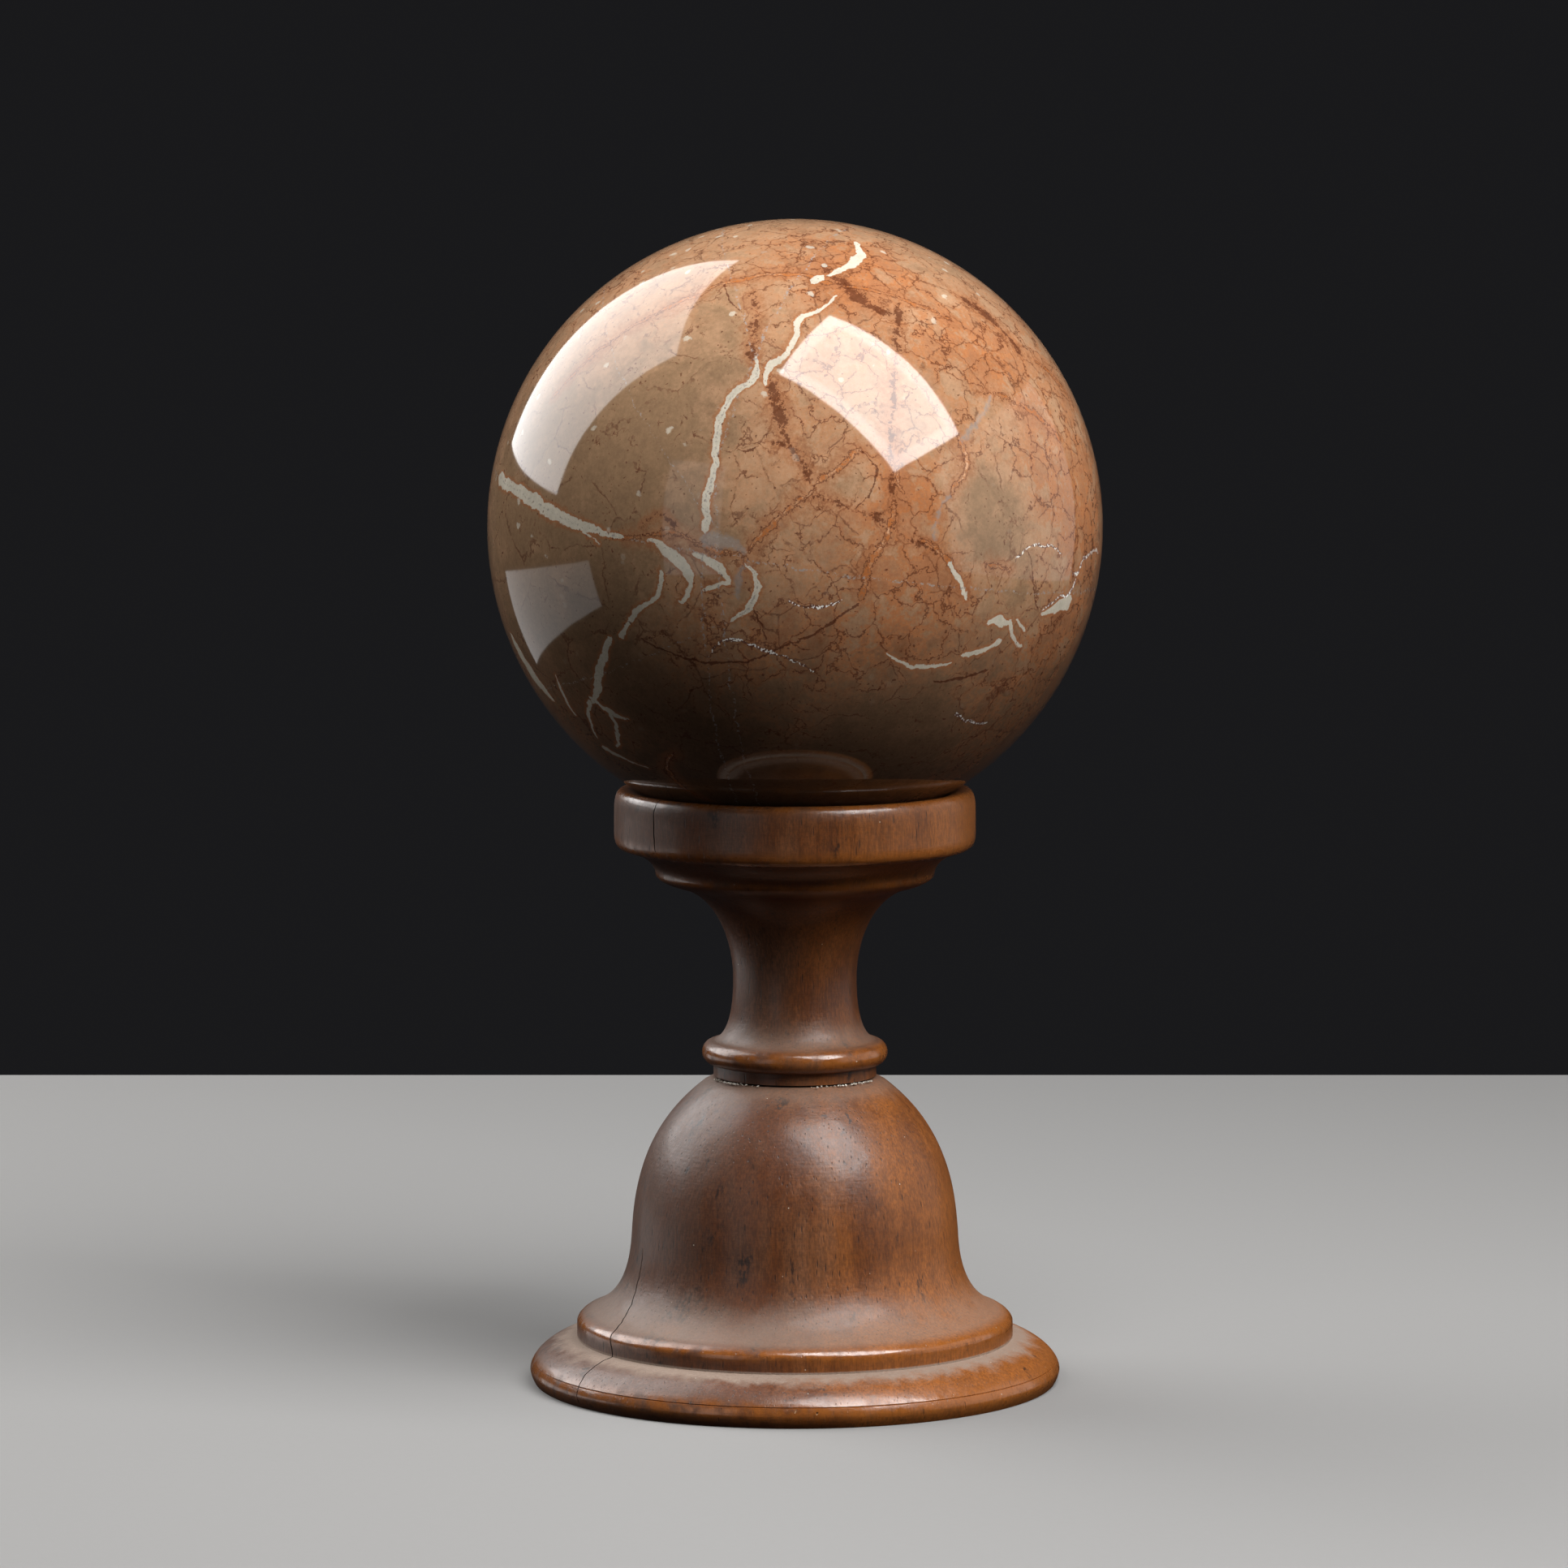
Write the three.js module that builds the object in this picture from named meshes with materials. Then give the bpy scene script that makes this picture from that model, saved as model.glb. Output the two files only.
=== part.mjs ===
/**
 * A polished marble ball on a turned hardwood stand.
 *
 * Millimetres, +Z up, origin on the table at the centre of the foot. Three loose pieces share one
 * upright axis: the ball, the turning it rests in (cup, stem and collar), and the turning below
 * (bell and foot).
 */
import * as THREE from 'three';

// ---- driving dimensions ----

const BALL_RADIUS = 70;
const OVERALL_HEIGHT = 266.4;

// The mouldings of the stand from the table up: how wide each one is, and where it ends.
const FOOT_RADIUS = 61;
const FOOT_WIDEST = 2.6; // height of the foot's widest point
const FOOT_TOP = 10.3;
const FLARE_RADIUS = 50.2;
const FLARE_EDGE = 3; // the flat upright part of its edge
const BELL_RADIUS = 37.6;
const BELL_WALL = 34; // height where the flare has become the wall of the bell
const BELL_SHOULDER = 21; // radius where the wall has turned over
const BELL_TOP = 70.4;
const NECK_RADIUS = 18.7;
const NECK_HEIGHT = 2.6;
const COLLAR_RADIUS = 21.3;
const COLLAR_TOP = 78.8;
const WAIST_RADIUS = 14.2;
const WAIST_HEIGHT = 93;
const STEM_TOP_RADIUS = 27;
const STEM_TOP = 114.4;
const LIP_RADIUS = 32;
const LIP_TOP = 117.5;
const CUP_RADIUS = 41.4;
const CUP_BOTTOM = 122.9;
const CUP_ROUND = 2.8; // how far the band's lower edge is rounded in
const RIM_RADIUS = 39.3; // the crest of the rim
const RIM_ROUND = 4.7; // how far below the crest its outer round begins
const RIM_TOP = 136.7;

const GAP = 0.3; // clearance between pieces that rest on each other

// ---- facets ----

const SIDES = 48; // flat sides around the axis
const BALL_RINGS = 30; // bands from the bottom of the ball to its top
const SEAT_RINGS = 5; // bands of the ball that lie in the seat of the cup
const FACET_ERROR = 0.1; // how far a facet may lie inside the curve it follows

// ---- worked out from them ----

const BALL_CENTRE = OVERALL_HEIGHT - BALL_RADIUS;
const SEAT_ANGLE = (SEAT_RINGS * Math.PI) / BALL_RINGS;
const COLLAR_BOTTOM = BELL_TOP + GAP;

// ---- materials ----

const marble = new THREE.MeshStandardMaterial({
  color: 0x9a6a49, // tan and rust-brown stone
  roughness: 0.08, // wet-looking polish
  metalness: 0,
});

const wood = new THREE.MeshStandardMaterial({
  color: 0x4a2512, // dark red-brown hardwood
  roughness: 0.35, // old worn polish
  metalness: 0,
});

// ---- outlines ----

/** A point on a turned piece's outline: its distance from the axis and its height. */
function at(radius, height) {
  return new THREE.Vector2(radius, height);
}

/** Points along one stretch of an outline, as few as keep every facet within FACET_ERROR. */
function facetPoints(curve) {
  const samples = 24;
  let bend = 0;
  for (let i = 0; i < samples; i++) {
    const here = curve.getTangent(i / samples);
    const next = curve.getTangent((i + 1) / samples);
    bend += Math.abs(Math.atan2(here.cross(next), here.dot(next)));
  }
  const count = Math.ceil(Math.sqrt((curve.getLength() * bend) / (8 * FACET_ERROR)));
  return curve.getPoints(Math.max(1, count));
}

/** Turns stretches that follow on from each other into one solid, upwards and back to the axis. */
function turned(name, material, stretches) {
  const outline = [];
  for (const stretch of stretches) {
    const points = Array.isArray(stretch) ? stretch : facetPoints(stretch);
    const last = outline[outline.length - 1];
    const joins = last !== undefined && last.distanceTo(points[0]) < 1e-6;
    outline.push(...points.slice(joins ? 1 : 0));
  }
  const geometry = new THREE.LatheGeometry(outline, SIDES);
  geometry.rotateX(Math.PI / 2);
  const mesh = new THREE.Mesh(geometry, material);
  mesh.name = name;
  return mesh;
}

const line = (a, b) => new THREE.LineCurve(a, b);
const sweep = (a, control, b) => new THREE.QuadraticBezierCurve(a, control, b);
const ogee = (a, leaving, arriving, b) => new THREE.CubicBezierCurve(a, leaving, arriving, b);

/** A half-round bead standing out from a neck, from its underside up to its top. */
function bead(neckRadius, beadRadius, bottom, top) {
  const middle = (bottom + top) / 2;
  const out = beadRadius - neckRadius;
  const up = (top - bottom) / 2;
  return new THREE.EllipseCurve(neckRadius, middle, out, up, -Math.PI / 2, Math.PI / 2);
}

// ---- the ball ----

/** The ball, with as many sides as the seat, so that their facets run parallel. */
function ball() {
  const geometry = new THREE.SphereGeometry(BALL_RADIUS, SIDES, BALL_RINGS);
  geometry.rotateX(Math.PI / 2);
  const mesh = new THREE.Mesh(geometry, marble);
  mesh.name = 'marble_ball';
  mesh.position.z = BALL_CENTRE;
  return mesh;
}

// ---- the cup and stem ----

/** The hollow that the ball lies in, from its edge down to the axis, one band for each of the ball's. */
function seat() {
  const radius = BALL_RADIUS + GAP;
  const points = [];
  for (let ring = SEAT_RINGS; ring >= 0; ring--) {
    const angle = (SEAT_ANGLE * ring) / SEAT_RINGS;
    points.push(at(radius * Math.sin(angle), BALL_CENTRE - radius * Math.cos(angle)));
  }
  points[points.length - 1].x = 0;
  return points;
}

/** The collar: a plain neck that sits on the bell, then a half-round bead. */
function collarStretches() {
  const neckFoot = at(NECK_RADIUS, COLLAR_BOTTOM);
  const neckTop = at(NECK_RADIUS, COLLAR_BOTTOM + NECK_HEIGHT);
  return [
    line(at(0, COLLAR_BOTTOM), neckFoot),
    line(neckFoot, neckTop),
    bead(NECK_RADIUS, COLLAR_RADIUS, neckTop.y, COLLAR_TOP),
  ];
}

/** The stem: a quick hollow up from the collar to the waist, then a long one out to the cup. */
function stemStretches() {
  const root = at(NECK_RADIUS, COLLAR_TOP);
  const waist = at(WAIST_RADIUS, WAIST_HEIGHT);
  const top = at(STEM_TOP_RADIUS, STEM_TOP);
  return [
    ogee(root, at(root.x - 3.4, root.y + 1), at(waist.x, waist.y - 7), waist),
    ogee(waist, at(waist.x, waist.y + 8), at(top.x - 9.5, top.y - 2.4), top),
  ];
}

/** The cup's outside: a small lip, a cove, and the upright band with both its edges rounded. */
function cupStretches() {
  const stemTop = at(STEM_TOP_RADIUS, STEM_TOP);
  const lip = at(LIP_RADIUS, LIP_TOP);
  const coveTop = at(CUP_RADIUS - CUP_ROUND, CUP_BOTTOM);
  const bandBottom = at(CUP_RADIUS, CUP_BOTTOM + CUP_ROUND * 1.25);
  const bandTop = at(CUP_RADIUS, RIM_TOP - RIM_ROUND);
  const crest = at(RIM_RADIUS, RIM_TOP);
  const seatEdge = seat()[0];
  // The inner edge leaves the seat along its slope, so that it rolls over without a ridge.
  const roll = (RIM_TOP - seatEdge.y) / Math.tan(SEAT_ANGLE);
  return [
    sweep(stemTop, at(lip.x, stemTop.y + 1.2), lip),
    sweep(lip, at(lip.x + 0.4, coveTop.y - 2), coveTop),
    sweep(coveTop, at(bandBottom.x, coveTop.y), bandBottom),
    line(bandBottom, bandTop),
    sweep(bandTop, at(bandTop.x, crest.y), crest),
    sweep(crest, at(seatEdge.x + roll, crest.y), seatEdge),
  ];
}

/** The upper turning, in one piece of wood from the collar's underside to the seat. */
function cupAndStem() {
  const stretches = [...collarStretches(), ...stemStretches(), ...cupStretches(), seat()];
  return turned('cup_and_stem', wood, stretches);
}

// ---- the bell and foot ----

/** The foot: a flat underside, a small arris and a broad round back to the flare. */
function footStretches() {
  const base = at(FOOT_RADIUS - 1, 0);
  const widest = at(FOOT_RADIUS, FOOT_WIDEST);
  const step = at(FLARE_RADIUS, FOOT_TOP);
  return [
    line(at(0, 0), base),
    sweep(base, at(widest.x - 0.2, 1.2), widest),
    ogee(widest, at(widest.x, widest.y * 2), at(step.x + 7.3, step.y - 1), step),
  ];
}

/** The flare: a thin upright edge, then a hollow that rises into the wall of the bell. */
function flareStretches() {
  const step = at(FLARE_RADIUS, FOOT_TOP);
  const edge = at(FLARE_RADIUS, FOOT_TOP + FLARE_EDGE);
  const arris = at(edge.x - 1.6, edge.y + 2.4);
  const wall = at(BELL_RADIUS, BELL_WALL);
  return [
    line(step, edge),
    sweep(edge, at(edge.x + 0.2, edge.y + 1.4), arris),
    ogee(arris, at(arris.x - 6.8, arris.y + 2.6), at(wall.x + 0.6, wall.y - 10.8), wall),
  ];
}

/** The bell: a wall that leans in and turns over to a flat top under the collar. */
function bellStretches() {
  const wall = at(BELL_RADIUS, BELL_WALL);
  const shoulder = at(BELL_SHOULDER, BELL_TOP - 1.1);
  const top = at(NECK_RADIUS + 0.2, BELL_TOP);
  return [
    ogee(wall, at(wall.x - 0.6, wall.y + 9.5), at(wall.x - 2, shoulder.y - 11.3), shoulder),
    line(shoulder, top),
    line(top, at(0, BELL_TOP)),
  ];
}

/** The lower turning, in one piece of wood from the table to the top of the bell. */
function bellFoot() {
  const stretches = [...footStretches(), ...flareStretches(), ...bellStretches()];
  return turned('bell_foot', wood, stretches);
}

// ---- the whole ornament ----

const ornament = new THREE.Group();
ornament.add(ball(), cupAndStem(), bellFoot());

export default ornament;
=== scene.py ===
"""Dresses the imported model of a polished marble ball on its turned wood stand.

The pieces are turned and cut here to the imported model's own sizes, in metres, with +Z up and the
origin on the table under the middle of the foot. Outlines are given in millimetres.
"""

import math
import random

import bpy
from bpy.props import FloatProperty, FloatVectorProperty, IntProperty, PointerProperty
from mathutils import Matrix, Vector


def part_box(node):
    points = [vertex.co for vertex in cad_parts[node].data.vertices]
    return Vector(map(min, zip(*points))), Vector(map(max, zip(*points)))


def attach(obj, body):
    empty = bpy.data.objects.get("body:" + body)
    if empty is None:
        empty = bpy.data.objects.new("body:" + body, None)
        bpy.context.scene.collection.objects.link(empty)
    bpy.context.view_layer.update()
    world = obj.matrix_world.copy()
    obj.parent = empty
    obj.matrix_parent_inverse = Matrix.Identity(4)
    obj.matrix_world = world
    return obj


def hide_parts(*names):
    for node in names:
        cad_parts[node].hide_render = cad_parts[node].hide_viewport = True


bl_info = {
    "name": "Marble Ball Ornament",
    "version": (1, 0, 0),
    "blender": (4, 5, 0),
    "location": "3D View > Sidebar > Ornament",
    "description": "A veined marble ball on a turned and worn hardwood stand",
    "category": "Object",
}

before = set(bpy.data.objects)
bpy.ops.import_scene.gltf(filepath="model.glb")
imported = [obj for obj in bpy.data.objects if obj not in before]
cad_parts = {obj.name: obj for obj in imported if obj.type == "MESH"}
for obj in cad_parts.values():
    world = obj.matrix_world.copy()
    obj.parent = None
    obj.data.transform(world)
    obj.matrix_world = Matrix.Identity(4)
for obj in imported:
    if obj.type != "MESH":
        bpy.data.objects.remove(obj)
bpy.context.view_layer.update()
BALL_LOW, BALL_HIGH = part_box("marble_ball")
CUP_LOW, CUP_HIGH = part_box("cup_and_stem")
BELL_LOW, BELL_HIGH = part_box("bell_foot")
MM = 0.001
INSIDE = 0.999995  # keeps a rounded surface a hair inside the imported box


# ---- sizes and colours a user would change ----


def length(name, description, default):
    return FloatProperty(name=name, description=description, default=default, unit="LENGTH")


def share(name, description, default):
    return FloatProperty(
        name=name, description=description, default=default, min=0, max=1, subtype="FACTOR"
    )


def tint(name, description, default):
    return FloatVectorProperty(
        name=name, description=description, default=default, min=0, max=1, subtype="COLOR"
    )


class OrnamentSizes(bpy.types.PropertyGroup):
    """The driving sizes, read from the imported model."""

    ball_radius: length("Ball radius", "Half the ball's width", BALL_HIGH.x)
    ball_centre: length("Ball centre", "Height of the ball's middle", (BALL_LOW.z + BALL_HIGH.z) / 2)
    cup_radius: length("Cup radius", "Half the width of the cup's band", CUP_HIGH.x)
    cup_top: length("Cup top", "Height of the cup's rim", CUP_HIGH.z)
    collar_bottom: length("Collar bottom", "Height where the stem meets the bell", CUP_LOW.z)
    bell_top: length("Bell top", "Height of the flat on the bell", BELL_HIGH.z)
    foot_radius: length("Foot radius", "Half the width of the foot", BELL_HIGH.x)
    split_width: length("Split width", "Width of the drying splits in the wood", 0.35 * MM)
    sides: IntProperty(
        name="Sides", description="Faces around a turned piece", default=256, min=32, max=512
    )


class MarbleLook(bpy.types.PropertyGroup):
    """Colours and polish of the stone."""

    tan: tint("Tan", "Light ground of the stone", (0.38, 0.22, 0.125))
    olive: tint("Olive", "Greyer, darker ground", (0.25, 0.150, 0.083))
    rust: tint("Rust", "Iron-stained ground", (0.32, 0.125, 0.052))
    # Umber is laid on towards the bottom of the ball: partly darker stone, partly painted shade on the
    # underside.
    umber: tint("Umber", "Dark brown ground below", (0.070, 0.033, 0.016))
    cream: tint("Cream", "Calcite of the wide veins", (0.56, 0.50, 0.40))
    slate: tint("Slate", "Grey cores and wedges in the veins", (0.28, 0.25, 0.225))
    ember: tint("Ember", "Orange filling of the thin veins", (0.40, 0.13, 0.035))
    peach: tint("Peach", "Pale grains in the thin veins", (0.58, 0.36, 0.22))
    oxblood: tint("Oxblood", "Dark red hairlines", (0.085, 0.022, 0.010))
    polish: share("Roughness", "Roughness of the polished stone", 0.055)


class WoodLook(bpy.types.PropertyGroup):
    """Colours and wear of the hardwood."""

    heart: tint("Heart", "Red-brown body of the wood", (0.135, 0.040, 0.011))
    glow: tint("Glow", "Orange-brown where the finish is worn thin", (0.33, 0.105, 0.020))
    bloom: tint("Bloom", "Greyed, dull film on the old finish", (0.125, 0.066, 0.042))
    # Black also paints the shade inside the splits and pits.
    black: tint("Black", "Pores and blue-black stains", (0.010, 0.008, 0.008))
    # Dust also paints the softboxes' pinkish sheen on the flare and in the hollow above the collar.
    dust_and_sheen: tint("Dust", "Grey-beige dust in the hollows", (0.27, 0.20, 0.155))
    bare: tint("Bare", "Fresh wood in the knocks", (0.50, 0.32, 0.17))
    gloss: share("Roughness", "Roughness of the rubbed finish", 0.36)


class StageLook(bpy.types.PropertyGroup):
    """Camera, lights and floor."""

    camera_distance: length("Camera distance", "From the stand's axis to the camera", 1.568)
    camera_height: length("Camera height", "Height of the camera above the floor", 0.3008)
    key_power: FloatProperty(
        name="Key power", description="Power of the front-right softbox", default=16.5, unit="POWER"
    )
    side_power: FloatProperty(
        name="Side power", description="Power of the left softbox", default=12.5, unit="POWER"
    )
    fill_power: FloatProperty(
        name="Fill power", description="Power of the weak front-left fill", default=0.9, unit="POWER"
    )
    card_power: FloatProperty(
        name="Card power", description="Power of the weak right-hand card", default=2.2, unit="POWER"
    )
    floor: tint("Floor", "Colour of the plain floor", (0.26, 0.255, 0.25))
    room: tint("Room", "Light of the room around", (0.010, 0.010, 0.011))


# ---- shader maths ----


class Tap:
    """The end of a chain of nodes, so that shader maths reads as plain arithmetic."""

    def __init__(self, recipe, socket):
        self.recipe = recipe
        self.socket = socket

    def maths(self, operation, *values, clamp=False):
        settings = {"operation": operation, "use_clamp": clamp}
        return self.recipe.node("ShaderNodeMath", settings, dict(enumerate(values)))

    def __add__(self, other):
        return self.maths("ADD", self, other)

    def __sub__(self, other):
        return self.maths("SUBTRACT", self, other)

    def __rsub__(self, other):
        return self.maths("SUBTRACT", other, self)

    def __mul__(self, other):
        return self.maths("MULTIPLY", self, other)

    def __truediv__(self, other):
        return self.maths("DIVIDE", self, other)

    def __abs__(self):
        return self.maths("ABSOLUTE", self)

    __radd__ = __add__
    __rmul__ = __mul__

    def scaled(self, factor):
        """A vector, made longer or shorter."""
        settings = {"operation": "SCALE"}
        return self.recipe.node("ShaderNodeVectorMath", settings, {0: self, "Scale": factor})

    def least(self, other):
        return self.maths("MINIMUM", self, other)

    def most(self, other):
        return self.maths("MAXIMUM", self, other)

    def held(self):
        """The value, held between 0 and 1."""
        return self.maths("ADD", self, 0.0, clamp=True)

    def rise(self, low, high):
        """0 below low, 1 above high and smooth between them; it falls where low is the larger."""
        settings = {"interpolation_type": "SMOOTHSTEP", "clamp": True}
        start, end = (0.0, 1.0) if low < high else (1.0, 0.0)
        values = {0: self, 1: min(low, high), 2: max(low, high), 3: start, 4: end}
        return self.recipe.node("ShaderNodeMapRange", settings, values)


class Recipe:
    """A node tree being filled: a material's, or a group's that materials share."""

    def __init__(self, tree):
        self.tree = tree

    def node(self, kind, settings=(), sockets=(), take=0):
        """Adds a node with its settings and the values or links of its sockets."""
        made = self.tree.nodes.new(kind)
        for name, value in dict(settings).items():
            setattr(made, name, value)
        for key, value in dict(sockets).items():
            if isinstance(value, Tap):
                self.tree.links.new(value.socket, made.inputs[key])
            else:
                made.inputs[key].default_value = value
        return Tap(self, made.outputs[take]) if made.outputs else None

    def vector(self, operation, *values):
        """Vector maths; a length, distance or dot product comes out as a number."""
        take = 1 if operation in ("DOT_PRODUCT", "DISTANCE", "LENGTH") else 0
        settings = {"operation": operation}
        return self.node("ShaderNodeVectorMath", settings, dict(enumerate(values)), take)

    def place(self):
        """Where a point is, in millimetres in the ornament's own frame."""
        return self.node("ShaderNodeTexCoord", take="Object").scaled(1 / MM)

    def split(self, vector):
        parts = self.node("ShaderNodeSeparateXYZ", sockets={0: vector}).socket.node
        return [Tap(self, output) for output in parts.outputs]

    def noise(self, vector, size, detail=2.0, roughness=0.5, take=0):
        """Cloudy noise around one half, with lumps of about the size given."""
        sockets = {"Vector": vector, "Scale": 1 / size, "Detail": detail, "Roughness": roughness}
        return self.node("ShaderNodeTexNoise", sockets=sockets, take=take)

    def cells(self, vector, size, feature="F1", take=0):
        """Broken fragments of about the size given: distance from a seed or edge, or a colour."""
        settings = {"feature": feature}
        return self.node(
            "ShaderNodeTexVoronoi", settings, {"Vector": vector, "Scale": 1 / size}, take
        )

    def curve(self, value, points, handle="AUTO"):
        """Follows the points given, and runs straight on beyond them."""
        traced = self.node("ShaderNodeFloatCurve", sockets={"Value": value})
        mapping = traced.socket.node.mapping
        mapping.use_clip = False
        mapping.extend = "EXTRAPOLATED"
        line = mapping.curves[0].points
        line[0].location, line[1].location = points[0], points[-1]
        for x, y in points[1:-1]:
            line.new(x, y)
        for point in line:
            point.handle_type = handle
        mapping.update()
        return traced

    def mix(self, amount, below, above, how="MIX"):
        """Lays one colour over another by an amount."""
        settings = {"data_type": "RGBA", "blend_type": how}
        colours = {0: amount, 6: paint(below), 7: paint(above)}
        return self.node("ShaderNodeMix", settings, colours, take=2)

    def bump(self, height, distance, strength=1.0, under=None):
        sockets = {"Height": height, "Distance": distance, "Strength": strength}
        if under is not None:
            sockets["Normal"] = under
        return self.node("ShaderNodeBump", sockets=sockets)

    def finish(self, sockets):
        """Ends a material in one shader with these constants and links."""
        shader = self.node("ShaderNodeBsdfPrincipled", sockets=sockets)
        self.node("ShaderNodeOutputMaterial", sockets={"Surface": shader})


def paint(colour):
    """A colour as a socket takes it, with its alpha; links pass through."""
    return colour if isinstance(colour, Tap) else (*tuple(colour)[:3], 1.0)


def new_material(name):
    material = bpy.data.materials.new(name)
    material.use_nodes = True
    material.node_tree.nodes.clear()
    return material, Recipe(material.node_tree)


# ---- the marble ----

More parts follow.
